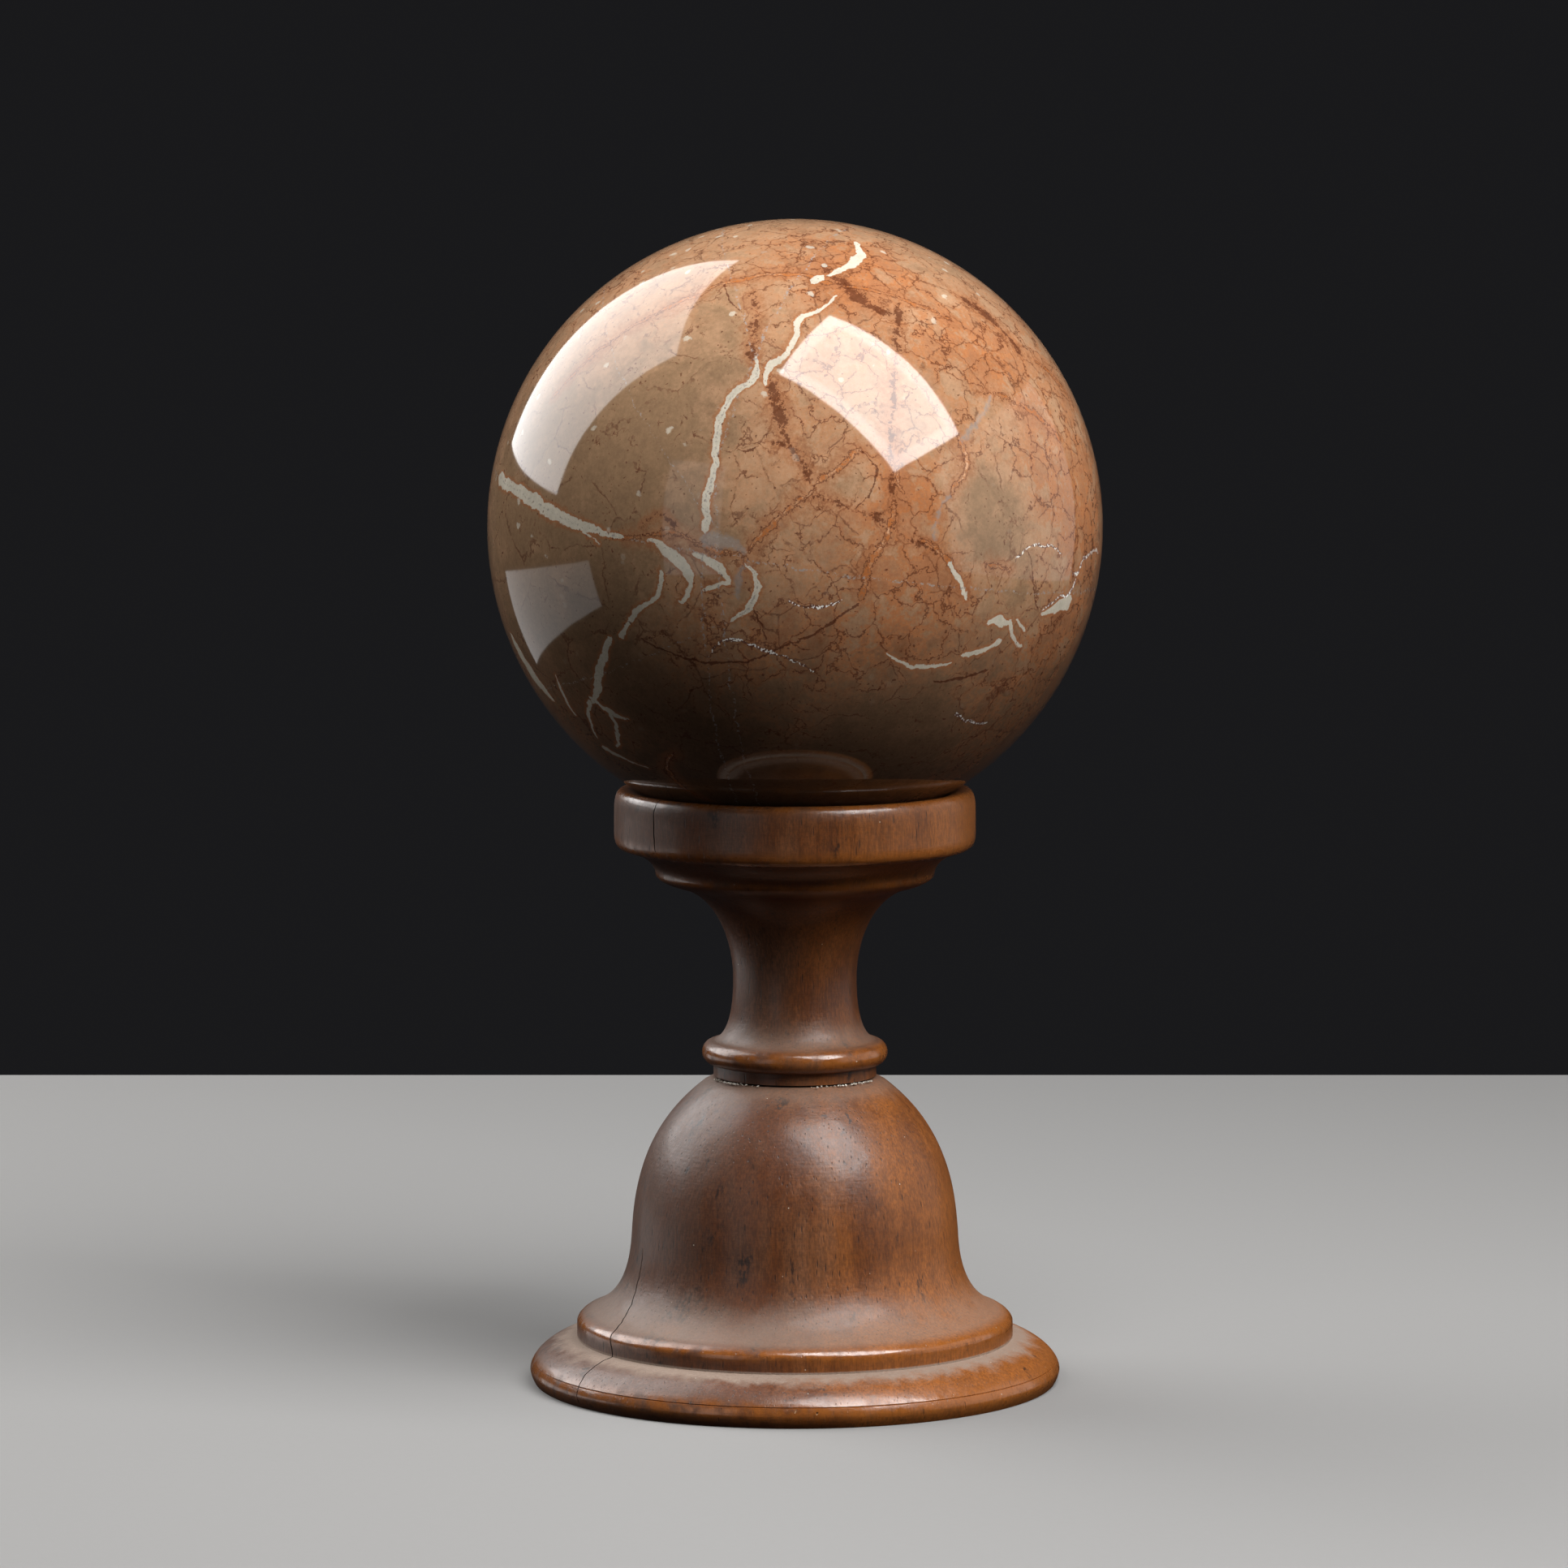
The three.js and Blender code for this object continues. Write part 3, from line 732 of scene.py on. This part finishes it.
def cup_outline(sizes):
    """Collar, stem and cup, from the flat under the collar round to the middle of the seat."""
    low, top, cup = sizes.collar_bottom / MM, sizes.cup_top / MM, sizes.cup_radius / MM
    neck, collar, waist = 18.7, 21.3, 14.2
    ball_centre = sizes.ball_centre / MM
    seat_radius = sizes.ball_radius / MM + 0.3
    seat_angle = math.radians(30)

    def seat(t):
        angle = seat_angle * (1 - t)
        return Vector((seat_radius * math.sin(angle), ball_centre - seat_radius * math.cos(angle)))

    edge = seat(0)
    roll = (top - edge.y) / math.tan(seat_angle)
    stretches = [
        bezier((0, low), (neck, low)),
        bezier((neck, low), (neck, low + 2.6)),
        bead(neck, collar, low + 2.6, low + 8.1),
        bezier((neck, low + 8.1), (15.3, low + 9.1), (waist, low + 15.3), (waist, low + 22.3)),
        bezier((waist, low + 22.3), (waist, 101), (17.5, 112), (27, 114.4)),
        bezier((27, 114.4), (32, 115.6), (32, 117.5)),
        bezier((32, 117.5), (32.4, 120.9), (cup - 2.8, top - 13.8)),
        bezier((cup - 2.8, top - 13.8), (cup, top - 13.8), (cup, top - 10.3)),
        bezier((cup, top - 10.3), (cup, top - 4.7)),
        bezier((cup, top - 4.7), (cup, top), (39.3, top)),
        bezier((39.3, top), (edge.x + roll, top), edge),
        along(seat, seat_radius * seat_angle),
    ]
    return joined(stretches)


def bell_outline(sizes):
    """Foot, flare and bell, from the middle of the underside to the middle of the flat on top."""
    foot, top = sizes.foot_radius / MM, sizes.bell_top / MM
    flare, wall = 50.2, 37.6
    round_back = bezier((foot, 2.6), (foot, 5.2), (flare + 7.3, 9.3), (flare, 10.3))
    stretches = [
        bezier((0, 0), (foot - 1, 0)),
        bezier((foot - 1, 0), (foot - 0.2, 1.2), (foot, 2.6)),
        scored(round_back, foot - 0.75, 0.24, 0.16),
        bezier((flare, 10.3), (flare, 13.3)),
        bezier((flare, 13.3), (flare + 0.2, 14.7), (flare - 1.6, 15.7)),
        bezier((flare - 1.6, 15.7), (41.8, 18.3), (wall + 0.6, 23.2), (wall, 34)),
        bezier((wall, 34), (wall - 0.6, 43.5), (wall - 2, top - 12.4), (21, top - 1.1)),
        bezier((21, top - 1.1), (18.9, top)),
        bezier((18.9, top), (0, top)),
    ]
    return joined(stretches)


def joined(stretches):
    """Stretches of an outline, end to end, each shared point once."""
    points = [stretches[0][0]]
    for stretch in stretches:
        points += stretch[1:]
    return points


# ---- making meshes ----


def deselect():
    if bpy.context.object and bpy.context.object.mode != "OBJECT":
        bpy.ops.object.mode_set(mode="OBJECT")
    bpy.ops.object.select_all(action="DESELECT")


def chain(name, points):
    """A chain of edges: one vertex, drawn out from point to point."""
    deselect()
    bpy.ops.mesh.primitive_plane_add(size=MM, location=points[0])
    made = bpy.context.object
    made.name = made.data.name = name
    bpy.ops.object.transform_apply(location=True, rotation=True, scale=True)
    bpy.ops.object.mode_set(mode="EDIT")
    bpy.ops.mesh.select_mode(type="VERT")
    bpy.ops.mesh.merge(type="CENTER")
    for here, there in zip(points, points[1:]):
        bpy.ops.mesh.extrude_vertices_move(TRANSFORM_OT_translate={"value": there - here})
    bpy.ops.mesh.select_all(action="SELECT")
    return made


def turn(name, outline, sides):
    """Turns an outline into a closed piece, as on a lathe."""
    made = chain(name, [Vector((p.x * INSIDE, 0, p.y)) * MM for p in outline])
    bpy.ops.mesh.spin(steps=sides, angle=math.tau, center=(0, 0, 0), axis=(0, 0, 1))
    bpy.ops.mesh.select_all(action="SELECT")
    bpy.ops.mesh.remove_doubles(threshold=0.02 * MM)
    bpy.ops.mesh.normals_make_consistent(inside=False)
    bpy.ops.object.mode_set(mode="OBJECT")
    return made


def apply_all(piece):
    """Applies every modifier, in order."""
    deselect()
    piece.select_set(True)
    bpy.context.view_layer.objects.active = piece
    for modifier in list(piece.modifiers):
        bpy.ops.object.modifier_apply(modifier=modifier.name)


def weather(piece, size, depth):
    """Lets the surface waver inwards a little, as old hand-turned wood does."""
    clouds = bpy.data.textures.new(piece.name + "_waver", "CLOUDS")
    clouds.noise_scale = size
    clouds.noise_depth = 1
    waver = piece.modifiers.new("waver", "DISPLACE")
    waver.texture = clouds
    waver.texture_coords = "LOCAL"
    waver.mid_level = 0
    waver.strength = -depth
    apply_all(piece)


def join(pieces):
    """Joins pieces into the first of them."""
    deselect()
    for piece in pieces:
        piece.select_set(True)
    bpy.context.view_layer.objects.active = pieces[0]
    bpy.ops.object.join()
    return pieces[0]


def cut(piece, cutters):
    """Cuts the cutters, which stand clear of each other, out of the piece, and throws them away."""
    tool = join(cutters)
    saw = piece.modifiers.new("saw", "BOOLEAN")
    saw.operation = "DIFFERENCE"
    saw.solver = "EXACT"
    saw.material_mode = "TRANSFER"
    saw.object = tool
    apply_all(piece)
    bpy.data.objects.remove(tool)


def blade(name, stations, inwards, width, material, seed):
    """A thin jagged sheet that cuts a drying split: a route on the surface, driven inwards."""
    dice = random.Random(seed)
    sideways = inwards.cross(Vector((0, 0, 1))).normalized()
    points = []
    for here, there in zip(stations, stations[1:]):
        steps = max(1, round((there - here).length / (1.2 * MM)))
        for i in range(steps):
            jog = sideways * dice.uniform(-0.18, 0.18) * MM
            points.append(here.lerp(there, i / steps) + jog)
    points.append(stations[-1])
    start = inwards.normalized() * -0.9 * MM
    made = chain(name, [p + start for p in points])
    bpy.ops.mesh.extrude_region_move(TRANSFORM_OT_translate={"value": inwards - start})
    bpy.ops.object.mode_set(mode="OBJECT")
    thin = made.vertex_groups.new(name="thin")
    ends = (stations[0], stations[-1])
    for vertex in made.data.vertices:
        near = min((vertex.co - end - start).length for end in ends)
        thin.add([vertex.index], min(1, 0.35 + near / (9 * MM)), "REPLACE")
    thick = made.modifiers.new("thick", "SOLIDIFY")
    thick.thickness = width
    thick.offset = 0
    thick.vertex_group = thin.name
    apply_all(made)
    made.data.materials.append(material)
    return made


def gouge(name, place, size, turn, material, seed):
    """A small rough lump that cuts a pit or a knock."""
    deselect()
    bpy.ops.mesh.primitive_ico_sphere_add(
        subdivisions=2, radius=1, location=place, rotation=turn, scale=size
    )
    made = bpy.context.object
    made.name = name
    bpy.ops.object.transform_apply(location=True, rotation=True, scale=True)
    bpy.ops.object.mode_set(mode="EDIT")
    bpy.ops.mesh.select_all(action="SELECT")
    bpy.ops.transform.vertex_random(offset=min(size) * 0.25, seed=seed)
    bpy.ops.object.mode_set(mode="OBJECT")
    made.data.materials.append(material)
    return made


def on_turning(azimuth, radius, height):
    """A point on a turned surface: azimuth in degrees, radius and height in millimetres."""
    a = math.radians(azimuth)
    return Vector((radius * math.sin(a), -radius * math.cos(a), height)) * MM


def settle(piece, name, materials, nodes):
    """Names a finished piece, smooths it, and tells the frame what it stands for."""
    deselect()
    piece.select_set(True)
    bpy.context.view_layer.objects.active = piece
    piece.name = piece.data.name = name
    for material in materials:
        piece.data.materials.append(material)
    bpy.ops.object.shade_smooth_by_angle(angle=math.radians(38))
    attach(piece, "root")
    if nodes:
        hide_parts(*nodes)


# ---- operators ----


class ORNAMENT_OT_marble_ball(bpy.types.Operator):
    """Make the polished marble ball"""

    bl_idname = "ornament.marble_ball"
    bl_label = "Marble Ball"

    def execute(self, context):
        sizes = context.scene.ornament_sizes
        deselect()
        bpy.ops.mesh.primitive_cube_add(size=2 * sizes.ball_radius)
        ball = context.object
        bpy.ops.object.mode_set(mode="EDIT")
        bpy.ops.mesh.subdivide(number_cuts=95)
        bpy.ops.object.mode_set(mode="OBJECT")
        rounded = ball.modifiers.new("round", "CAST")
        rounded.cast_type = "SPHERE"
        rounded.factor = 1
        rounded.size = sizes.ball_radius * INSIDE
        rounded.use_radius_as_size = False
        apply_all(ball)
        bpy.ops.object.mode_set(mode="EDIT")
        bpy.ops.mesh.select_all(action="SELECT")
        bpy.ops.transform.translate(value=(0, 0, sizes.ball_centre))
        bpy.ops.object.mode_set(mode="OBJECT")
        marble = marble_material(sizes, context.scene.ornament_marble)
        settle(ball, "polished_ball", [marble], ["marble_ball"])
        return {"FINISHED"}


class ORNAMENT_OT_cup_and_stem(bpy.types.Operator):
    """Turn the cup, stem and collar, and split the cup's band"""

    bl_idname = "ornament.cup_and_stem"
    bl_label = "Cup and Stem"

    def execute(self, context):
        sizes, look = context.scene.ornament_sizes, context.scene.ornament_wood
        cup = turn("cup", cup_outline(sizes), sizes.sides)
        cup.data.materials.append(shared("worn_hardwood", wood_material, sizes, look))
        weather(cup, 14 * MM, 0.12 * MM)
        # The split's faces take a nearly black finish: painted shade inside it.
        dark = shared("split_shade", split_shade_material, look)
        azimuth, radius, top = -50, sizes.cup_radius / MM, sizes.cup_top / MM
        route = [
            on_turning(azimuth + 0.6, radius - 3, top - 14.4),
            on_turning(azimuth, radius, top - 10),
            on_turning(azimuth - 0.5, radius, top - 4),
            on_turning(azimuth + 0.4, radius - 1.2, top + 0.4),
        ]
        inwards = on_turning(azimuth, -4.5, 0)
        cut(cup, [blade("band_split", route, inwards, sizes.split_width, dark, 11)])
        settle(cup, "turned_cup_and_stem", [], ["cup_and_stem"])
        return {"FINISHED"}


class ORNAMENT_OT_bell_and_foot(bpy.types.Operator):
    """Turn the bell and foot, with its split, knocks and pits"""

    bl_idname = "ornament.bell_and_foot"
    bl_label = "Bell and Foot"

    def execute(self, context):
        sizes, look = context.scene.ornament_sizes, context.scene.ornament_wood
        bell = turn("bell", bell_outline(sizes), sizes.sides)
        bell.data.materials.append(shared("worn_hardwood", wood_material, sizes, look))
        weather(bell, 18 * MM, 0.16 * MM)
        # The split and the pits take a nearly black finish: painted shade inside them.
        dark = shared("split_shade", split_shade_material, look)
        bare = shared("bare_wood", bare_material, look)
        route = [
            on_turning(-53.6, 60.4, 0.8),
            on_turning(-54, 61, 3),
            on_turning(-54.6, 57.5, 8),
            on_turning(-55.4, 50.4, 10.4),
            on_turning(-56.2, 50.2, 13.4),
            on_turning(-57.8, 48.6, 15.7),
            on_turning(-61.6, 43.6, 18.0),
            on_turning(-66.4, 39.2, 24),
            on_turning(-67.2, 37.8, 33),
        ]
        inwards = on_turning(-57, -2.6, -2.2)
        cutters = [blade("foot_split", route, inwards, sizes.split_width, dark, 5)]
        dice = random.Random(8)
        for azimuth, height, long in ((-1.5, 4.6, 1.5), (0.2, 4.4, 1.9), (3.0, 4.9, 1.3), (4.6, 3.6, 0.9)):
            size = Vector((0.22, 0.5, long / 2)) * MM
            lean = (0, dice.uniform(0.35, 0.75), math.radians(azimuth))
            spot = on_turning(azimuth, 60.9, height)
            cutters.append(gouge("knock", spot, size, lean, bare, dice.randrange(99)))
        for azimuth, radius, height in ((-1, 35.4, 55.4), (0.8, 35.6, 53.2), (0.3, 36, 51.2), (13, 35.4, 55.6)):
            size = Vector((0.5, 0.35, 0.6)) * MM * dice.uniform(0.7, 1.1)
            spot = on_turning(azimuth, radius, height)
            cutters.append(gouge("pit", spot, size, (0, 0, 0), dark, dice.randrange(99)))
        cut(bell, cutters)
        settle(bell, "turned_bell_and_foot", [], ["bell_foot"])
        return {"FINISHED"}


class ORNAMENT_OT_joint_wax(bpy.types.Operator):
    """Scatter the dried wax that has crumbled out of the joint under the collar"""

    bl_idname = "ornament.joint_wax"
    bl_label = "Joint Wax"

    def execute(self, context):
        sizes = context.scene.ornament_sizes
        dice = random.Random(21)
        height = sizes.bell_top / MM
        deselect()
        bpy.ops.mesh.primitive_ico_sphere_add(subdivisions=1, radius=MM / 2)
        bpy.ops.object.mode_set(mode="EDIT")
        bpy.ops.mesh.select_all(action="SELECT")
        bpy.ops.transform.vertex_random(offset=0.12 * MM, seed=3)
        bpy.ops.object.mode_set(mode="OBJECT")
        first = context.object
        crumbs = []
        for low, high, count in ((-70, -42, 46), (-42, -22, 10), (10, 33, 12), (33, 66, 44), (150, 175, 14)):
            for _ in range(count):
                crumb = first.copy()
                crumb.data = first.data.copy()
                context.collection.objects.link(crumb)
                size = dice.uniform(0.18, 0.62)
                spot = on_turning(dice.uniform(low, high), dice.uniform(18.9, 19.9), height)
                crumb.location = spot + Vector((0, 0, size * 0.2 * MM))
                crumb.rotation_euler = [dice.uniform(0, math.tau) for _ in range(3)]
                crumb.scale = (size, size, size * 0.7)
                crumbs.append(crumb)
        bpy.data.objects.remove(first)
        wax = join(crumbs)
        bpy.ops.object.transform_apply(location=True, rotation=True, scale=True)
        settle(wax, "joint_wax", [wax_material()], [])
        return {"FINISHED"}


BORDER_GLOW = 0.28  # how much light a softbox's border adds, against its panel


class ORNAMENT_OT_stage(bpy.types.Operator):
    """Set the floor, softboxes, room light and camera"""

    bl_idname = "ornament.stage"
    bl_label = "Stage"

    def execute(self, context):
        sizes, look = context.scene.ornament_sizes, context.scene.ornament_stage
        deselect()
        bpy.ops.mesh.primitive_plane_add(size=4, location=(0, -1.52, 0))
        floor = context.object
        floor.name = "floor"
        bpy.ops.object.transform_apply(location=True)
        material, m = new_material("plain_floor")
        tooth = m.noise(m.place(), 2, 3)
        colour = m.mix(tooth.rise(0.3, 0.7) * 0.06, look.floor, (0.3, 0.3, 0.3))
        m.finish({"Base Color": colour, "Roughness": 0.85, "Specular IOR Level": 0.2})
        floor.data.materials.append(material)
        floor.visible_diffuse = floor.visible_glossy = False

        ball = Vector((0, 0, sizes.ball_centre))
        key = Vector((0.425, -0.45, 0.785))
        softbox("key", ball, key, 0.9, (0.77, -0.28, -0.57), (0.90, 0.55), look.key_power, 0.08)
        panel = towards(-121, 0) * 0.8 + Vector((0, 0, 0.56))
        softbox("side", ball, panel, 0.97, (0, 0, 1), (1.0, 0.88), look.side_power)
        softbox("fill", ball, towards(-38, 6), 1.3, (0, 0, 1), (0.9, 0.5), look.fill_power)
        softbox("right_card", ball, towards(92, 8), 1.1, (0, 0, 1), (0.85, 1.5), look.card_power)
        softbox("left_card", ball, towards(-110, -17), 1.1, (0, 0, 1), (0.28, 1.2), look.card_power * 0.4)

        world = bpy.data.worlds.new("room")
        context.scene.world = world
        world.use_nodes = True
        world.node_tree.nodes["Background"].inputs["Color"].default_value = paint(look.room)
        context.scene.view_settings.view_transform = "Standard"

        bpy.ops.object.camera_add(
            location=(-0.0025, -look.camera_distance, look.camera_height),
            rotation=(math.radians(84.06), 0, 0),
        )
        camera = context.object
        camera.data.lens = 158.4
        camera.data.sensor_width = 36
        context.scene.camera = camera
        return {"FINISHED"}


def softbox(name, target, direction, distance, long_side, size, power, border=0.0):
    """A softbox that faces the target, its long side set as given, perhaps with a bright border."""
    back = Vector(direction).normalized()
    across = Vector(long_side)
    across = (across - back * across.dot(back)).normalized()
    upward = back.cross(across)
    middle = target + back * distance
    turn = Matrix((across, upward, back)).transposed().to_4x4()
    long, short = size
    panels = [(Vector(), size)]
    if border:
        for side in (-1, 1):
            panels.append((upward * side * (short - border) / 2, (long, border)))
            panels.append((across * side * (long - border) / 2, (border, short - 2 * border)))
    for number, (shift, (width, height)) in enumerate(panels):
        bpy.ops.object.light_add(type="AREA")
        lamp = bpy.context.object
        lamp.name = lamp.data.name = f"{name}_{number}"
        lamp.data.shape = "RECTANGLE"
        lamp.data.size, lamp.data.size_y = width, height
        glow = 1.0 if number == 0 else BORDER_GLOW
        lamp.data.energy = power * glow * (width * height) / (long * short)
        front = back * -0.002 * (number > 0)
        lamp.matrix_world = Matrix.Translation(middle + shift + front) @ turn


def shared(name, make, *arguments):
    """A material that several pieces wear, made the first time it is asked for."""
    return bpy.data.materials.get(name) or make(*arguments)


PIECES = (
    ORNAMENT_OT_marble_ball,
    ORNAMENT_OT_cup_and_stem,
    ORNAMENT_OT_bell_and_foot,
    ORNAMENT_OT_joint_wax,
    ORNAMENT_OT_stage,
)


class ORNAMENT_PT_panel(bpy.types.Panel):
    """The ornament's pieces and settings"""

    bl_idname = "ORNAMENT_PT_panel"
    bl_label = "Marble Ball Ornament"
    bl_space_type = "VIEW_3D"
    bl_region_type = "UI"
    bl_category = "Ornament"

    def draw(self, context):
        for piece in PIECES:
            self.layout.operator(piece.bl_idname)
        for name in SETTINGS:
            group = getattr(context.scene, name)
            box = self.layout.box()
            for prop in group.bl_rna.properties:
                if not prop.is_readonly and prop.identifier != "name":
                    box.prop(group, prop.identifier)


SETTINGS = {
    "ornament_sizes": OrnamentSizes,
    "ornament_marble": MarbleLook,
    "ornament_wood": WoodLook,
    "ornament_stage": StageLook,
}
CLASSES = (*SETTINGS.values(), *PIECES, ORNAMENT_PT_panel)


def register():
    for one in CLASSES:
        bpy.utils.register_class(one)
    for name, group in SETTINGS.items():
        setattr(bpy.types.Scene, name, PointerProperty(type=group))


def unregister():
    for name in SETTINGS:
        delattr(bpy.types.Scene, name)
    for one in reversed(CLASSES):
        bpy.utils.unregister_class(one)


def main():
    """Makes every piece in order."""
    register()
    for piece in PIECES:
        category, name = piece.bl_idname.split(".")
        getattr(getattr(bpy.ops, category), name)()


if __name__ == "__main__":
    main()
